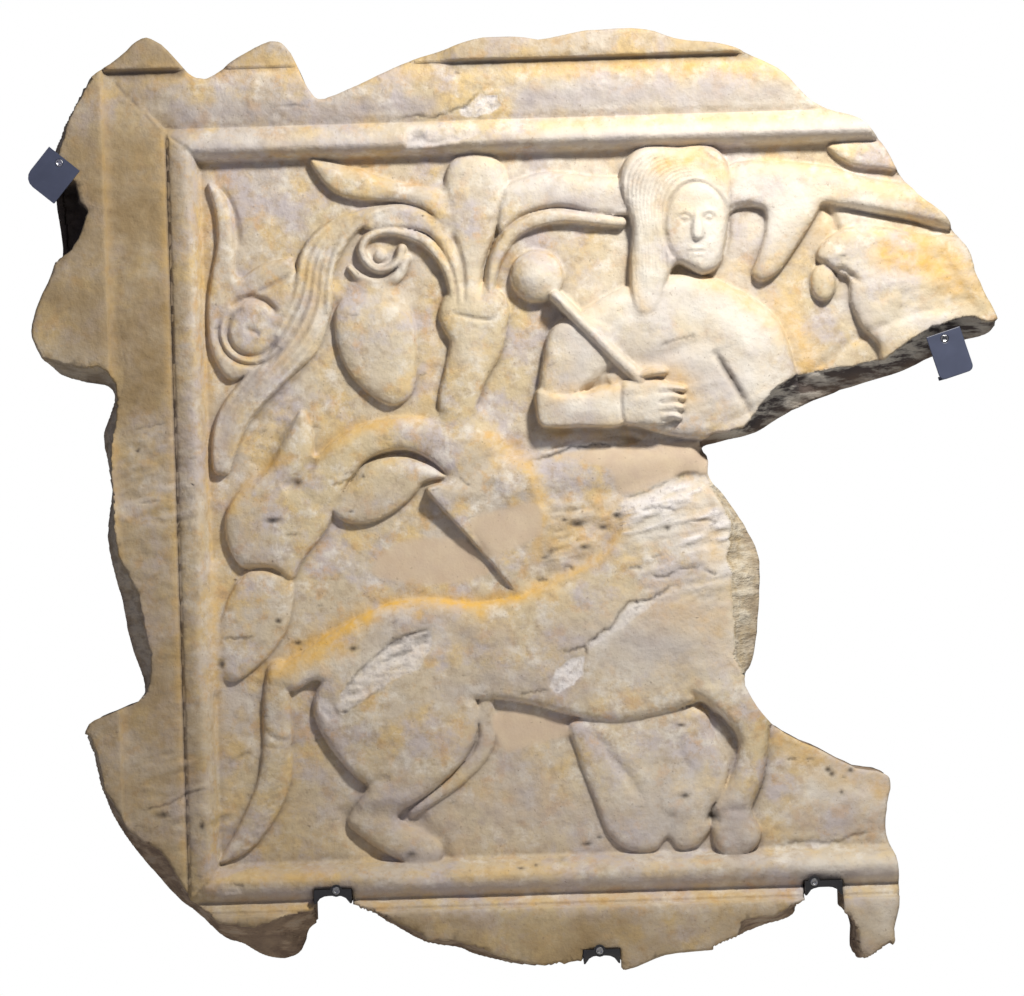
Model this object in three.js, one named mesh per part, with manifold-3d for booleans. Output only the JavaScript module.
// Stone relief panel: a broken marble slab carved in low relief, held on a wall by steel brackets.
// A centaur with long hair and a ball-headed mace stands among plant scrolls, inside a moulded border.
// Units are millimetres. +Z is up, the carved front faces -Y and the flat back lies on the wall at y = 0.

import * as THREE from 'three';
import { mergeVertices } from 'three/addons/utils/BufferGeometryUtils.js';
import Module from 'manifold-3d';

const wasm = await Module();
wasm.setup();
const { Manifold, Mesh: SolidMesh } = wasm;

// ---------------------------------------------------------------- driving dimensions
const BAND_THICKNESS = 95;      // back to the plain outer band of the border
const FIELD_THICKNESS = 63;     // back to the sunk field behind the figures
const BAND_RISE = BAND_THICKNESS - FIELD_THICKNESS;
const BURY = 8;                 // how far a raised form runs back into the slab
const EDGE_ROUND = 8;           // usual rounding along the edge of a raised form
const BEYOND = 20;              // how far a cutting form stands clear of what it cuts
const GAP = 0.3;                // clearance between touching pieces
const CURVE_SAMPLES = 3;        // samples between two control points of a smooth line
const CURVE_TOLERANCE = 1.1;    // a sample nearer than this to the straight line is left out

// ---------------------------------------------------------------- the slab's broken outline
// Each point is [x, z, slope]: slope is how much farther in the fracture reaches at the front face.
const SLAB_OUTLINE = [
  // upper edge, from the left peak to the right tip
  [-340, 473.5, 3], [-325, 466, 3], [-300, 438, 3], [-289, 432, 2], [-278, 433, 2], [-250, 451, 3],
  [-216, 466.5, 3], [-202, 462, 3], [-180, 419, 3], [-171, 408, 2], [-160, 409, 2], [-117, 426, 3],
  [-86, 440, 3], [-48, 451, 3], [-13, 462, 3], [33, 463, 3], [52, 460, 3], [99, 467, 3], [160, 466.5, 3],
  [189, 457, 3], [240, 449, 3], [267, 437.5, 3], [299, 419, 3], [321, 395, 3], [341, 383, 3],
  [373, 371.5, 3], [395, 347, 3], [411, 318, 3], [429, 295, 3], [458, 271, 3], [464, 258, 3],
  [479, 236, 3], [484, 216, 3], [495, 189, 3], [506, 164, 3],
  // underside of the right arm and the great bay
  [500, 155, 12], [473, 147, 18], [433, 128, 22], [404, 116, 16], [349, 101, 20], [319, 90, 22],
  [291, 78, 18], [261, 61, 12], [211, 49, 8], [205, 46, 4], [211, 36, 3], [211, 16, 3], [223, 2, 6],
  [242, -26, 14], [257, -55, 24], [261, -76, 26], [258, -120, 26], [255, -149, 22], [248, -175, 14],
  [240, -187, 3], [244, -201, 3], [262, -229, 3], [280, -244, 3], [317, -263, 3], [351, -281, 3],
  [372, -285, 3], [383, -291, 3], [385, -300, 3], [381, -317, 3], [379, -348, 3], [388, -376, 3],
  [388, -412, 3], [382, -441, 3], [381, -456, 3], [349, -475, 6], [343, -466, 4], [344, -445, 4],
  // lower edge, from right to left
  [335, -426, 4], [289, -416, 4], [284, -428, 13], [251, -439, 12], [232, -446, 12], [200, -456.5, 3],
  [151, -461, 3], [112, -474, 3], [63, -463.6, 3], [31, -472, 3], [-35, -460.5, 5], [-56, -451.5, 9],
  [-90, -444, 10], [-127, -422, 10], [-155, -405, 4], [-203, -425, 14], [-209, -433, 22],
  [-215, -450, 28], [-232, -457.5, 34], [-252, -454, 32], [-272, -442, 24], [-290, -435, 18],
  [-317, -410, 12], [-341, -390, 15], [-367, -359, 22], [-388, -330, 16], [-404, -301, 12],
  [-416, -260, 8], [-419, -243, 6], [-424, -227, 3],
  // left edge, from bottom to top
  [-418, -212, 3], [-391, -200, 3], [-365, -187, 4], [-367, -170, 12], [-379, -130, 20],
  [-386, -90, 22], [-397, -40, 12], [-398, -18, 11], [-392, 22, 5], [-399, 78, 14], [-391, 100, 8],
  [-386, 118, 4], [-393, 127, 5], [-419, 133, 12], [-441, 141, 12], [-457, 161, 6], [-464, 183, 3],
  [-456, 211, 3], [-437, 255, 3], [-440, 308, 6], [-445, 345, 8], [-429, 389, 8], [-410, 421, 6],
  [-393, 439, 3], [-371, 452, 3], [-350, 470, 3],
];
const FRACTURE_STEP = 35;       // depth at which the fracture turns from steep to sloping
const FRACTURE_STEP_SHARE = 0.2;

// A piece of the front has broken off the left edge beside the clip.
const EDGE_HOLLOW = [
  [-416, 331], [-413, 311], [-404, 303], [-408, 289], [-413, 278], [-421, 264], [-434, 257],
  [-460, 262], [-460, 330],
];
const EDGE_HOLLOW_BACK = 30;

// ---------------------------------------------------------------- the moulded border
// It runs along the top, the left and the bottom, mitred at the corners: an outer band, a sloping
// fascia, a fine groove and a round roll that falls to the field. [top z, left x, bottom z, rise]
const BORDER_PROFILE = [
  [442, -386, -408, BAND_RISE],
  [441, -385, -407, 26],
  [412, -357, -403, 21.5],
  [386, -329, -399, 19],
  [383.5, -327, -396.5, 15],
  [381, -325, -394, 19.5],
  [376, -320, -388, 24],
  [370, -312, -379, 26],
  [363, -303, -370, 24],
  [356, -298, -364, 17],
  [350, -295, -361.5, 7],
  [348, -294, -360.5, 0],
];
const BORDER_RIGHT = 700;       // the border's right side is lost: it would lie beyond the slab
const ROLL_CHIP = [[-86, 356], [-84, 386], [0, 386], [0, 366], [-30, 362], [-60, 361]];
const ROLL_CHIP_RISE = 19;

// ---------------------------------------------------------------- carved figures, as outlines
// Each has a closed smooth outline of [x, z] points, a rise above the field and an edge rounding.
const OUTLINED_FORMS = [
  { // round-headed middle leaf of the palmette
    rise: 18,
    points: [[-47, 316], [-38, 343], [-14, 352], [10, 340], [17, 312], [5, 275], [-9, 235], [-16, 180],
      [-34, 180], [-38, 235], [-45, 280]],
  },
  { // its left leaf
    rise: 16,
    points: [[-181, 349], [-148, 342], [-120, 333], [-85, 321], [-50, 312], [-43, 276], [-70, 296],
      [-100, 304], [-133, 306], [-160, 316]],
  },
  { // its right leaf, which runs behind the hair
    rise: 15,
    points: [[14, 314], [40, 326], [62, 329], [105, 323], [150, 316], [150, 286], [105, 285], [70, 293],
      [35, 286], [8, 268]],
  },
  { // long bundle of leaf strands that sweeps down to the left
    rise: 17,
    points: [[-92, 300], [-130, 297], [-172, 281], [-192, 258], [-204, 211], [-222, 180], [-245, 143],
      [-277, 104], [-288, 70], [-286, 36], [-274, 34], [-266, 52], [-249, 88], [-211, 127], [-180, 155],
      [-163, 200], [-160, 235], [-138, 272]],
  },
  { // hanging pear-shaped leaf
    rise: 19,
    round: 16,
    points: [[-161, 172], [-152, 139], [-130, 112], [-105, 98], [-86, 109], [-80, 150], [-84, 192],
      [-104, 214], [-135, 216], [-158, 200]],
  },
  { // scroll at the left, with its pointed tendril
    rise: 13,
    points: [[-284, 328], [-278, 298], [-277, 268], [-284, 232], [-289, 194], [-285, 155], [-268, 129],
      [-250, 134], [-225, 150], [-204, 176], [-198, 215], [-203, 248], [-232, 245], [-257, 232],
      [-260, 270], [-266, 311]],
  },
  { // great stem that arches from the trunk, with the upper leaf and its pointed lobe
    rise: 19,
    points: [[-54, 82], [-101, 87], [-139, 79], [-164, 66], [-185, 50], [-187, 76], [-197, 96],
      [-212, 76], [-230, 42], [-266, 13], [-277, -8], [-275, -38], [-260, -61], [-232, -62],
      [-213, -74], [-200, -54], [-176, -24], [-166, -2], [-146, 31], [-128, 47], [-92, 53], [-66, 40],
      [-48, 24], [-20, 30], [5, 60], [-20, 76]],
  },
  { // leaf tucked under the arch
    rise: 14,
    round: 10,
    points: [[-150, 22], [-136, 40], [-117, 46], [-90, 46], [-66, 36], [-54, 25], [-76, 20], [-86, 8],
      [-108, -9], [-133, -19], [-158, -17], [-170, -3]],
  },
  { // lower leaf, curling out of the stem
    rise: 13,
    round: 10,
    points: [[-248, -60], [-272, -82], [-287, -122], [-293, -160], [-277, -175], [-258, -167],
      [-236, -148], [-219, -124], [-211, -88], [-214, -66]],
  },
  { // hair and head
    rise: 28,
    points: [[130, 312], [134, 334], [150, 349], [190, 350], [226, 348], [240, 330], [242, 300],
      [236, 262], [228, 230], [210, 220], [186, 232], [172, 215], [166, 188], [150, 178], [140, 188],
      [138, 232], [141, 270]],
  },
  { // shoulders and chest
    rise: 23,
    round: 12,
    points: [[60, 152], [80, 178], [104, 197], [138, 213], [200, 222], [248, 203], [283, 175], [299, 132],
      [303, 70], [204, 55], [150, 62], [112, 74], [96, 112], [70, 120]],
  },
  { // fist
    rise: 30,
    points: [[127, 76], [126, 122], [142, 132], [172, 132], [186, 114], [196, 110], [196, 76], [160, 70]],
  },
  { // smooth filling under the arm
    rise: 13,
    round: 4,
    points: [[20, 38], [50, 52], [128, 60], [206, 58], [240, 40], [232, 14], [187, 15], [157, 8],
      [110, -6], [50, -4], [24, 14]],
  },
  { // stem that leaves the hair to the right, with a hanging tongue
    rise: 16,
    points: [[236, 328], [330, 328], [382, 313], [440, 300], [500, 262], [461, 259], [420, 270],
      [380, 279], [350, 286], [334, 288], [327, 277], [308, 248], [284, 218], [269, 212], [261, 219],
      [268, 240], [276, 266], [274, 284], [247, 286], [236, 278]],
  },
  { // leaf tip above it
    rise: 14,
    points: [[340, 346], [392, 350], [425, 318], [396, 321], [362, 327]],
  },
  { // animal head and neck, facing left
    rise: 20,
    round: 12,
    points: [[331, 247], [326, 236], [330, 227], [345, 219], [357, 212], [359, 189], [368, 164],
      [385, 144], [392, 110], [530, 110], [530, 220], [470, 251], [428, 256], [381, 265], [352, 262]],
  },
  { // the horse's body, chest and haunch
    rise: 20,
    round: 14,
    points: [[-240, -172], [-202, -146], [-156, -118], [-110, -100], [-70, -97], [-35, -103], [4, -100],
      [51, -85], [94, -62], [117, -36], [126, -8], [157, 8], [210, 16], [290, -20], [290, -180],
      [262, -226], [232, -216], [212, -222], [196, -210], [166, -218], [110, -227], [64, -219],
      [25, -207], [-32, -200], [-80, -215], [-150, -205], [-190, -176], [-214, -186]],
  },
  { // its hind leg, from haunch to foot
    rise: 20,
    round: 12,
    points: [[-191, -188], [-195, -206], [-183, -238], [-157, -272], [-143, -285], [-152, -300],
      [-164, -320], [-148, -337], [-122, -355], [-97, -365], [-70, -360], [-70, -346], [-92, -330],
      [-112, -316], [-77, -291], [-44, -261], [-31, -236], [-30, -200], [-70, -160], [-140, -150],
      [-180, -165]],
  },
  { // its near foreleg and hoof
    rise: 22,
    round: 10,
    points: [[182, -196], [210, -219], [232, -248], [226, -282], [204, -322], [210, -361], [242, -361],
      [253, -344], [244, -320], [256, -290], [264, -243], [262, -200], [220, -180]],
  },
  { // raised foreleg and the lobed form below the belly
    rise: 13,
    round: 10,
    points: [[64, -226], [70, -258], [86, -306], [99, -340], [120, -357], [145, -358], [159, -345],
      [170, -357], [187, -354], [202, -338], [203, -318], [216, -300], [222, -272], [207, -238],
      [198, -216], [120, -222]],
  },
  { // end of a cloak, a flat block with a straight slanting edge
    rise: 16,
    round: 4,
    points: [[-74, 13], [-51, 21], [-22, 29], [10, 44], [36, 36], [44, 4], [40, -40], [36, -84], [10, -90],
      [-11, -59], [-38, -28], [-66, -3]],
  },
  { // rough stone between cloak and back
    rise: 10,
    round: 4,
    points: [[38, 6], [128, 4], [124, -30], [96, -64], [62, -84], [34, -86]],
  },
];

// ---------------------------------------------------------------- carved figures, as tapering bands
// Each has a centre line of [x, z, half width] points.
const BAND_FORMS = [
  { // trunk of the palmette
    rise: 17,
    path: [[-20, 180, 36], [-19, 160, 28], [-30, 130, 22], [-39, 100, 20], [-36, 66, 18]],
  },
  { // left rib of its middle leaf
    rise: 14,
    path: [[-33, 190, 4], [-40, 240, 7], [-58, 277, 10], [-90, 289, 13], [-122, 285, 10]],
  },
  { // right rib
    rise: 16,
    path: [[-6, 190, 4], [0, 236, 7], [20, 270, 9], [60, 285, 9], [130, 276, 6]],
  },
  { // volute that the left rib rolls into
    rise: 14,
    path: [[-115, 280, 6], [-134, 267, 7], [-141, 249, 7], [-128, 228, 6], [-104, 227, 6], [-91, 240, 6],
      [-91, 252, 6]],
  },
  { rise: 28, round: 10, path: [[60, 206, 9], [100, 163, 10], [146, 114, 10]] },               // mace handle
  { rise: 28, round: 14, path: [[108, 172, 24], [84, 146, 25], [68, 118, 23], [62, 96, 19]] }, // upper arm
  { rise: 28, round: 12, path: [[60, 94, 18], [95, 93, 19], [130, 96, 22]] },                  // forearm
  { rise: 16, round: 10, path: [[-228, -166, 12], [-231, -195, 14], [-231, -232, 15]] },       // tail root
  { // tail, narrowing to a point
    rise: 14,
    path: [[-232, -240, 14], [-235, -272, 16], [-249, -306, 15], [-270, -337, 11], [-291, -355, 3]],
  },
  { // far hind leg
    rise: 9,
    round: 4,
    path: [[-20, -208, 8], [-22, -246, 8], [-46, -276, 7], [-98, -313, 4]],
  },
  { rise: 30, round: 3, path: [[206, 294, 3], [206, 274, 4], [207, 260, 5]] },                 // nose
];

// ---------------------------------------------------------------- round forms
// [centre x, centre z, half width, half height, rise, rounding]
const ROUND_FORMS = [
  [44, 224, 27, 27, 30, 20],        // ball of the mace
  [-245, 177, 22, 22, 15, 8],       // disc of the scroll
  [-109, 248, 10, 10, 12, 6],       // eye of the volute
  [-90, 254, 8, 8, 16, 5],          // its end knob
  [332, 209, 13, 19, 16, 10],       // ball in the animal's mouth
  [206, 268, 31, 43, 30, 9],        // face
  [193, 284, 7, 3.5, 31, 3],        // its left eye
  [219, 284, 7, 3.5, 31, 3],        // its right eye
];
const ROUND_SEGMENTS = 16;

// ---------------------------------------------------------------- cut lines
// Grooves of [x, z] points with a width, a depth and the rise of the surface they cut.
const HAIR = {
  outer: [[142, 186], [139, 225], [140, 262], [133, 300], [136, 330], [162, 347], [206, 349], [238, 330]],
  inner: [[167, 200], [176, 228], [174, 260], [174, 290], [184, 306], [196, 312], [212, 312], [232, 298]],
  strands: 5,
  groove: { width: 3, depth: 3, rise: 28 },
};
const LEAF_BUNDLE = {
  outer: [[-118, 298], [-158, 288], [-188, 264], [-201, 220], [-218, 186], [-250, 138], [-282, 92],
    [-286, 50]],
  inner: [[-132, 286], [-154, 262], [-163, 228], [-166, 188], [-182, 154], [-222, 118], [-254, 82],
    [-272, 50]],
  strands: 3,
  groove: { width: 5, depth: 5, rise: 17 },
};
const SCROLL_RINGS = {
  centre: [-245, 177],
  radii: [23, 31],
  from: Math.PI * 0.75,
  to: Math.PI * 1.95,
  steps: 8,
  groove: { width: 4, depth: 4, rise: 13 },
};
const FINGERS = {
  first: 76,
  pitch: 10,
  count: 4,
  left: 172,
  right: 200,
  groove: { width: 4, depth: 5, rise: 30 },
};
const TAIL_STROKES = {
  top: [-222, -256],
  pitch: 15,
  count: 6,
  reach: [-20, -6],
  groove: { width: 4, depth: 4, rise: 14 },
};
const CUT_LINES = [
  // leaflets of the scroll
  { width: 10, depth: 9, rise: 14, path: [[-266, 213], [-250, 230], [-228, 240], [-206, 250]] },
  { width: 8, depth: 8, rise: 14, path: [[-247, 212], [-228, 218], [-208, 234]] },
  // edges of the palmette's ribs
  { width: 5, depth: 6, rise: 17, path: [[-38, 200], [-44, 232], [-62, 262], [-92, 276]] },
  { width: 5, depth: 6, rise: 17, path: [[-9, 205], [-2, 250], [22, 279], [60, 292], [104, 286]] },
  // lobes of the left leaf
  { width: 9, depth: 9, rise: 19, path: [[-191, 44], [-201, 30], [-215, 19]] },
  { width: 7, depth: 6, rise: 19, path: [[-240, -11], [-222, -14]] },
  // bend of the elbow and crease of the chest
  { width: 6, depth: 7, rise: 30, path: [[84, 100], [96, 112], [110, 126]] },
  { width: 6, depth: 7, rise: 23, path: [[218, 142], [238, 116], [252, 88], [256, 70]] },
  // lobes below the belly
  { width: 5, depth: 5, rise: 13, path: [[78, -236], [104, -260], [134, -306]] },
  { width: 5, depth: 5, rise: 13, path: [[173, -244], [176, -262], [186, -278]] },
  { width: 4, depth: 4, rise: 13, path: [[159, -346], [162, -326]] },
  // mouth
  { width: 3, depth: 2.5, rise: 30, path: [[197, 247], [207, 245], [217, 247]] },
];

// ---------------------------------------------------------------- steel hardware
const STEEL_THICKNESS = 4;
const SCREW = { radius: 3.8, segments: 12, proud: 0.5, socketRadius: 2.3, socketDepth: 2.2, socketSides: 6 };
// A clip is a plate that lies over the stone's edge, with a stem that runs back to the wall. Its
// inner end is centred on a point and it reaches outwards at an angle; the web is [from, to] across
// the plate and the distance of its outer face from the inner end.
const CLIPS = [
  {
    name: 'clip_left', inner: [-425, 354.5], angle: -130, width: 39, length: 42, corners: [12, 1],
    web: { across: [-16, 0], reach: 37 }, screw: [-430.5, 350.5], frontRise: BAND_RISE,
  },
  {
    name: 'clip_right', inner: [449, 155], angle: -73, width: 35.5, length: 46, corners: [6, 6],
    web: { across: [-11, 11], reach: 46 }, screw: [450.5, 148], frontRise: 22,
  },
];
const CORNER_STEPS = 4;
// The slab rests on bars in three notches. A small round lip turns up in front of the stone.
const NOTCHES = [
  { left: -199, right: -160, top: -385, screwX: -176, frontRise: 26.5 },
  { left: 69, right: 107, top: -452.5, screwX: 86, frontRise: BAND_RISE },
  { left: 293, right: 332, top: -391, screwX: 303, frontRise: 26.5 },
];
const NOTCH_BOTTOM = -560;
const BAR = { sideGap: 0.8, middle: 6, haunch: 8, sideLeg: 1.5, steps: 4 };
const BAR_LIP = { radius: 6.2, drop: 1, thickness: 3, segments: 12 };

// ---------------------------------------------------------------- helpers: solids
const yOfRise = (rise) => -(FIELD_THICKNESS + rise);

function solidFrom(geometry) {
  const bare = geometry.clone();
  bare.deleteAttribute('normal');
  bare.deleteAttribute('uv');
  const merged = mergeVertices(bare, 1e-4);
  return new Manifold(new SolidMesh({
    numProp: 3,
    vertProperties: new Float32Array(merged.attributes.position.array),
    triVerts: new Uint32Array(merged.index.array),
  }));
}

function geometryFrom(solid) {
  const mesh = solid.getMesh();
  const geometry = new THREE.BufferGeometry();
  geometry.setAttribute('position', new THREE.BufferAttribute(new Float32Array(mesh.vertProperties), 3));
  geometry.setIndex(new THREE.BufferAttribute(new Uint32Array(mesh.triVerts), 1));
  geometry.computeVertexNormals();
  return geometry;
}

// Skins a stack of rings of equal count; every ring is a list of [x, y, z], back to front, and is
// counter-clockwise seen from the front. The two ends are capped.
function loft(rings) {
  const count = rings[0].length;
  const positions = rings.flat(2);
  const faces = [];
  for (let r = 0; r + 1 < rings.length; r += 1) {
    for (let i = 0; i < count; i += 1) {
      const j = (i + 1) % count;
      const back = r * count;
      const front = back + count;
      faces.push(back + i, back + j, front + j);
      faces.push(back + i, front + j, front + i);
    }
  }
  const last = (rings.length - 1) * count;
  const outline = rings[0].map(([x, , z]) => new THREE.Vector2(x, z));
  THREE.ShapeUtils.triangulateShape(outline, []).forEach(([a, b, c]) => {
    faces.push(a, c, b);
    faces.push(last + a, last + b, last + c);
  });
  const geometry = new THREE.BufferGeometry();
  geometry.setAttribute('position', new THREE.Float32BufferAttribute(positions, 3));
  geometry.setIndex(faces);
  return solidFrom(geometry);
}

// ---------------------------------------------------------------- helpers: outlines
function counterClockwise(points) {
  const area = THREE.ShapeUtils.area(points.map(([x, z]) => new THREE.Vector2(x, z)));
  return area < 0 ? [...points].reverse() : points;
}

// Leaves out the samples that stand less than the tolerance off the straight line past them.
function thin(samples, tolerance) {
  const kept = [samples[0]];
  for (let i = 1; i + 1 < samples.length; i += 1) {
    const chord = new THREE.Line3(kept[kept.length - 1], samples[i + 1]);
    const foot = chord.closestPointToPoint(samples[i], true, new THREE.Vector3());
    if (foot.distanceTo(samples[i]) > tolerance) kept.push(samples[i]);
  }
  kept.push(samples[samples.length - 1]);
  return kept;
}

// A smooth line through the control points; every coordinate is carried along.
function smooth(points, closed) {
  const lifted = points.map(([x, z, extra = 0]) => new THREE.Vector3(x, extra, z));
  const curve = new THREE.CatmullRomCurve3(lifted, closed, 'centripetal');
  const spans = closed ? points.length : points.length - 1;
  const samples = thin(curve.getPoints(spans * CURVE_SAMPLES), CURVE_TOLERANCE);
  if (closed) samples.pop();
  return samples.map((p) => [p.x, p.z, p.y]);
}

function inwardNormals(points) {
  return points.map((point, i) => {
    const before = points[(i + points.length - 1) % points.length];
    const after = points[(i + 1) % points.length];
    const along = new THREE.Vector2(after[0] - before[0], after[1] - before[1]).normalize();
    return new THREE.Vector2(-along.y, along.x);
  });
}

// How far a ray from a point, going inwards, runs before it meets the outline again.
function clearRun(points, index, direction) {
  const [px, pz] = points[index];
  let nearest = Infinity;
  points.forEach((a, i) => {
    const j = (i + 1) % points.length;
    if (i === index || j === index) return;
    const b = points[j];
    const edge = new THREE.Vector2(b[0] - a[0], b[1] - a[1]);
    const across = direction.x * edge.y - direction.y * edge.x;
    if (Math.abs(across) < 1e-9) return;
    const toA = new THREE.Vector2(a[0] - px, a[1] - pz);
    const run = (toA.x * edge.y - toA.y * edge.x) / across;
    const share = (toA.x * direction.y - toA.y * direction.x) / across;
    if (run > 0 && share >= 0 && share <= 1) nearest = Math.min(nearest, run);
  });
  return nearest;
}

const INSET_LIMIT = 0.38;       // an inset never takes more than this share of the local width
function insetOutline(points, distances) {
  const normals = inwardNormals(points);
  const limited = points.map((p, i) => Math.min(distances[i], INSET_LIMIT * clearRun(points, i, normals[i])));
  return points.map(([x, z], i) => {
    const before = limited[(i + points.length - 1) % points.length];
    const after = limited[(i + 1) % points.length];
    const move = Math.min(limited[i], (before + limited[i] + after) / 3);
    return [x + normals[i].x * move, z + normals[i].y * move];
  });
}

// The outline of a band with round ends around a centre line of [x, z, half width].
const BAND_END_STEPS = 3;
function bandOutline(path) {
  const line = smooth(path, false);
  const left = [];
  const right = [];
  line.forEach(([x, z, half], i) => {
    const before = line[Math.max(i - 1, 0)];
    const after = line[Math.min(i + 1, line.length - 1)];
    const along = new THREE.Vector2(after[0] - before[0], after[1] - before[1]).normalize();
    left.push([x - along.y * half, z + along.x * half]);
    right.push([x + along.y * half, z - along.x * half]);
  });
  const capAt = ([x, z, half], from, to) => {
    const start = Math.atan2(from[1] - z, from[0] - x);
    const turn = (Math.atan2(to[1] - z, to[0] - x) - start + 2 * Math.PI) % (2 * Math.PI);
    const signed = turn > Math.PI * 1.001 ? turn - 2 * Math.PI : turn;
    const steps = Array.from({ length: BAND_END_STEPS - 1 }, (unused, k) => (k + 1) / BAND_END_STEPS);
    return steps.map((s) => [x + half * Math.cos(start - Math.abs(signed) * s),
      z + half * Math.sin(start - Math.abs(signed) * s)]);
  };
  const last = line.length - 1;
  return [...left, ...capAt(line[last], left[last], right[last]), ...right.reverse(),
    ...capAt(line[0], right[last], left[0])];
}

// ---------------------------------------------------------------- helpers: raised and cut forms
const SHOULDER = 0.5;           // share of the rise that stands upright before the edge rounds over
const ROUNDING_STEPS = [[0.3, 0.86], [1, 1]];
const CHAMFER_STEPS = [[1, 1]];
function raised(points, rise, round) {
  const outline = counterClockwise(points);
  const ringAt = (inset, height) => insetOutline(outline, outline.map(() => inset))
    .map(([x, z]) => [x, yOfRise(height), z]);
  const foot = outline.map(([x, z]) => [x, yOfRise(-BURY), z]);
  const shoulder = outline.map(([x, z]) => [x, yOfRise(rise * SHOULDER), z]);
  const steps = round > EDGE_ROUND ? ROUNDING_STEPS : CHAMFER_STEPS;
  const rounding = steps.map(([inset, share]) => ringAt(round * inset, rise * share));
  return loft([foot, shoulder, ...rounding]);
}

function prism(points, yBack, yFront) {
  const outline = counterClockwise(points);
  return loft([yBack, yFront].map((y) => outline.map(([x, z]) => [x, y, z])));
}

// A V-shaped channel along a line, cut from the given rise down to the given depth.
const CHANNEL_CLEARANCE = 3;    // how far its open mouth stands above the surface
function channel({ path, width, depth, rise }) {
  const line = smooth(path, false);
  const half = (width / 2) * ((depth + CHANNEL_CLEARANCE) / depth);
  const sections = line.map(([x, z], i) => {
    const before = line[Math.max(i - 1, 0)];
    const after = line[Math.min(i + 1, line.length - 1)];
    const along = new THREE.Vector2(after[0] - before[0], after[1] - before[1]).normalize();
    return [
      [x - along.y * half, yOfRise(rise + CHANNEL_CLEARANCE), z + along.x * half],
      [x + along.y * half, yOfRise(rise + CHANNEL_CLEARANCE), z - along.x * half],
      [x, yOfRise(rise - depth), z],
    ];
  });
  const faces = [0, 2, 1];
  for (let s = 0; s + 1 < sections.length; s += 1) {
    for (let k = 0; k < 3; k += 1) {
      const a = 3 * s + k;
      const b = 3 * s + ((k + 1) % 3);
      faces.push(a, b + 3, a + 3);
      faces.push(a, b, b + 3);
    }
  }
  const end = 3 * (sections.length - 1);
  faces.push(end, end + 1, end + 2);
  const geometry = new THREE.BufferGeometry();
  geometry.setAttribute('position', new THREE.Float32BufferAttribute(sections.flat(2), 3));
  geometry.setIndex(faces);
  return solidFrom(geometry);
}

const ellipse = (x, z, halfWidth, halfHeight, segments) => Array.from({ length: segments }, (unused, i) => {
  const angle = (2 * Math.PI * i) / segments;
  return [x + halfWidth * Math.cos(angle), z + halfHeight * Math.sin(angle)];
});

// Lines laid evenly between two edges.
function between(edgeA, edgeB, count) {
  return Array.from({ length: count }, (unused, k) => {
    const share = (k + 1) / (count + 1);
    return edgeA.map(([x, z], i) => [x + (edgeB[i][0] - x) * share, z + (edgeB[i][1] - z) * share]);
  });
}

// ---------------------------------------------------------------- the marble slab
function slabBlank() {
  const outline = counterClockwise(SLAB_OUTLINE);
  const slopes = outline.map(([, , slope]) => slope);
  const edge = outline.map(([x, z]) => [x, z]);
  const at = (points, depth) => points.map(([x, z]) => [x, -depth, z]);
  return loft([
    at(edge, 0),
    at(insetOutline(edge, slopes.map((slope) => slope * FRACTURE_STEP_SHARE)), FRACTURE_STEP),
    at(insetOutline(edge, slopes), BAND_THICKNESS),
  ]);
}

function borderRecess() {
  const rectangle = (top, left, bottom, y, k) => {
    const right = BORDER_RIGHT - k;
    return [[left, y, bottom], [right, y, bottom], [right, y, top], [left, y, top]];
  };
  const rings = BORDER_PROFILE.map(([top, left, bottom, rise], k) => (
    rectangle(top, left, bottom, yOfRise(rise), k)));
  const [top, left, bottom] = BORDER_PROFILE[0];
  const mouth = rectangle(top, left, bottom, yOfRise(BAND_RISE + BEYOND), 0);
  return loft([...rings.reverse(), mouth]);
}

function figures() {
  const outlined = OUTLINED_FORMS.map(({ points, rise, round = EDGE_ROUND }) => (
    raised(smooth(points, true), rise, round)));
  const bands = BAND_FORMS.map(({ path, rise, round = EDGE_ROUND }) => (
    raised(bandOutline(path), rise, round)));
  const rounds = ROUND_FORMS.map(([x, z, halfWidth, halfHeight, rise, round]) => (
    raised(ellipse(x, z, halfWidth, halfHeight, ROUND_SEGMENTS), rise, round)));
  return Manifold.union([...outlined, ...bands, ...rounds]);
}

function cutLines() {
  const strands = [HAIR, LEAF_BUNDLE].flatMap(({ outer, inner, strands: count, groove }) => (
    between(outer, inner, count).map((path) => channel({ ...groove, path }))));
  const { centre, radii, from, to, steps, groove: ringGroove } = SCROLL_RINGS;
  const rings = radii.map((radius) => {
    const path = Array.from({ length: steps + 1 }, (unused, i) => {
      const angle = from + ((to - from) * i) / steps;
      return [centre[0] + radius * Math.cos(angle), centre[1] + radius * Math.sin(angle)];
    });
    return channel({ ...ringGroove, path });
  });
  const fingers = Array.from({ length: FINGERS.count - 1 }, (unused, i) => {
    const z = FINGERS.first + FINGERS.pitch * (i + 1);
    return channel({ ...FINGERS.groove, path: [[FINGERS.left, z], [FINGERS.right, z]] });
  });
  const strokes = Array.from({ length: TAIL_STROKES.count }, (unused, i) => {
    const x = TAIL_STROKES.top[0] - i * i;
    const z = TAIL_STROKES.top[1] - TAIL_STROKES.pitch * i;
    const end = [x + TAIL_STROKES.reach[0], z + TAIL_STROKES.reach[1]];
    return channel({ ...TAIL_STROKES.groove, path: [[x, z], end] });
  });
  return [...strands, ...rings, ...fingers, ...strokes, ...CUT_LINES.map(channel)];
}

function notchCuts() {
  return NOTCHES.map(({ left, right, top }) => {
    const box = [[left, NOTCH_BOTTOM], [right, NOTCH_BOTTOM], [right, top], [left, top]];
    return prism(box, BEYOND, yOfRise(BAND_RISE + BEYOND));
  });
}

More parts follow.
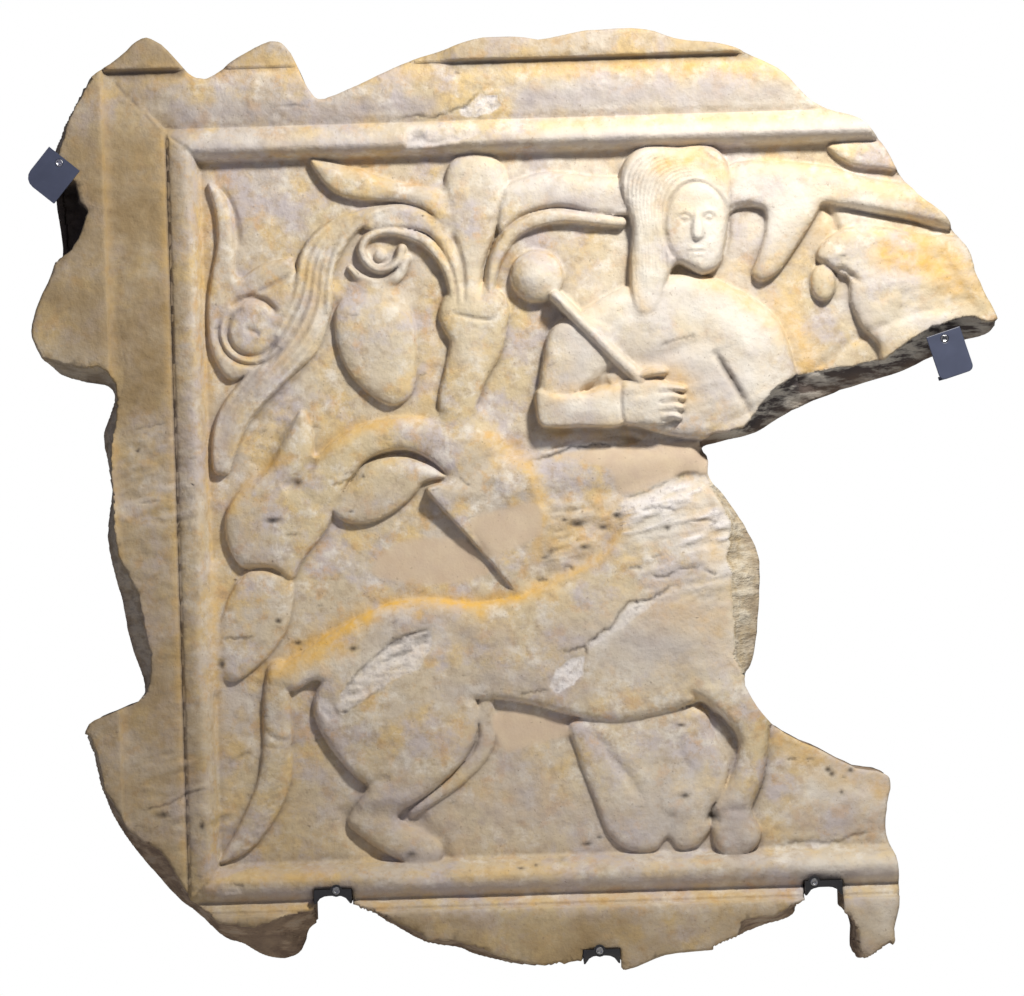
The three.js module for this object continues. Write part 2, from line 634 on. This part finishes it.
function reliefPanel() {
  const blank = slabBlank();
  const slab = blank.subtract(borderRecess());
  const carving = figures().intersect(blank);
  const front = yOfRise(BAND_RISE + BEYOND);
  const hollow = prism(EDGE_HOLLOW, -EDGE_HOLLOW_BACK, front);
  const chip = prism(ROLL_CHIP, yOfRise(ROLL_CHIP_RISE), front);
  return slab.add(carving).subtract(Manifold.union([...cutLines(), ...notchCuts(), hollow, chip]));
}

// ---------------------------------------------------------------- the steel clips, bars and screws
const disc = (x, z, radius, yBack, yFront, segments) => (
  prism(ellipse(x, z, radius, radius, segments), yBack, yFront));

// A set screw with a hexagonal socket, level with the face it is screwed into.
function setScrew([x, z], yBack, yFront) {
  const face = yFront - SCREW.proud;
  const body = disc(x, z, SCREW.radius, yBack, face, SCREW.segments);
  const socket = disc(x, z, SCREW.socketRadius, face + SCREW.socketDepth, face - BEYOND, SCREW.socketSides);
  return body.subtract(socket);
}

const screwHole = ([x, z]) => (
  disc(x, z, SCREW.radius + GAP, -BEYOND, yOfRise(BAND_RISE + BEYOND), SCREW.segments));

function roundedCorner(centreU, centreW, radius, from) {
  return Array.from({ length: CORNER_STEPS + 1 }, (unused, i) => {
    const angle = from + (Math.PI / 2) * (i / CORNER_STEPS);
    return [centreU + radius * Math.cos(angle), centreW + radius * Math.sin(angle)];
  });
}

function clip({ inner, angle, width, length, corners: [low, high], web, screw, frontRise }) {
  const turn = THREE.MathUtils.degToRad(angle);
  const place = ([u, w]) => [
    inner[0] + u * Math.cos(turn) - w * Math.sin(turn),
    inner[1] + u * Math.sin(turn) + w * Math.cos(turn),
  ];
  const half = width / 2;
  const outline = [
    [0, -half],
    ...roundedCorner(length - low, -half + low, low, -Math.PI / 2),
    ...roundedCorner(length - high, half - high, high, 0),
    [0, half],
  ];
  const back = yOfRise(frontRise) - GAP;
  const front = back - STEEL_THICKNESS;
  const plate = prism(outline.map(place), back, front);
  const [from, to] = web.across;
  const stem = [[web.reach - STEEL_THICKNESS, from], [web.reach, from], [web.reach, to],
    [web.reach - STEEL_THICKNESS, to]];
  const steel = plate.add(prism(stem.map(place), 0, front + STEEL_THICKNESS / 2));
  return { steel: steel.subtract(screwHole(screw)), screw: setScrew(screw, back, front) };
}

// A bar seen from the front is flat on top and arched below, with thin legs down the notch's sides.
function supportBar({ left, right, top, screwX, frontRise }) {
  const middle = (left + right) / 2;
  const half = (right - left) / 2 - BAR.sideGap;
  const level = top - GAP;
  const arch = Array.from({ length: 2 * BAR.steps + 1 }, (unused, i) => {
    const share = i / BAR.steps - 1;
    return [middle + share * (half - BAR.sideLeg), level - BAR.middle - BAR.haunch * share ** 4];
  });
  const foot = level - BAR.middle - BAR.haunch;
  const outline = [[middle - half, level], [middle - half, foot], ...arch, [middle + half, foot],
    [middle + half, level]];
  const back = yOfRise(frontRise) - GAP;
  const front = back - BAR_LIP.thickness;
  const screw = [screwX, level - BAR_LIP.drop];
  const lip = disc(...screw, BAR_LIP.radius, back, front, BAR_LIP.segments);
  const hole = disc(...screw, SCREW.radius + GAP, back + BEYOND, front - BEYOND, SCREW.segments);
  const steel = prism(outline, 0, front).add(lip).subtract(hole);
  return { steel, screw: setScrew(screw, back, front) };
}

// ---------------------------------------------------------------- materials and assembly
const marble = () => new THREE.MeshStandardMaterial({ color: '#cdbf9f', roughness: 0.8, metalness: 0 });
const paintedSteel = () => new THREE.MeshStandardMaterial({ color: '#4b5163', roughness: 0.5, metalness: 0 });
const bareSteel = () => new THREE.MeshStandardMaterial({ color: '#8d8f94', roughness: 0.35, metalness: 1 });

const panel = new THREE.Group();
function addPiece(name, solid, material) {
  const mesh = new THREE.Mesh(geometryFrom(solid), material);
  mesh.name = name;
  panel.add(mesh);
}

addPiece('relief_panel', reliefPanel(), marble());
CLIPS.forEach((settings) => {
  const { steel, screw } = clip(settings);
  addPiece(settings.name, steel, paintedSteel());
  addPiece(`${settings.name}_screw`, screw, bareSteel());
});
NOTCHES.forEach((settings, i) => {
  const { steel, screw } = supportBar(settings);
  addPiece(`support_bar_${i + 1}`, steel, paintedSteel());
  addPiece(`support_screw_${i + 1}`, screw, bareSteel());
});

export default panel;
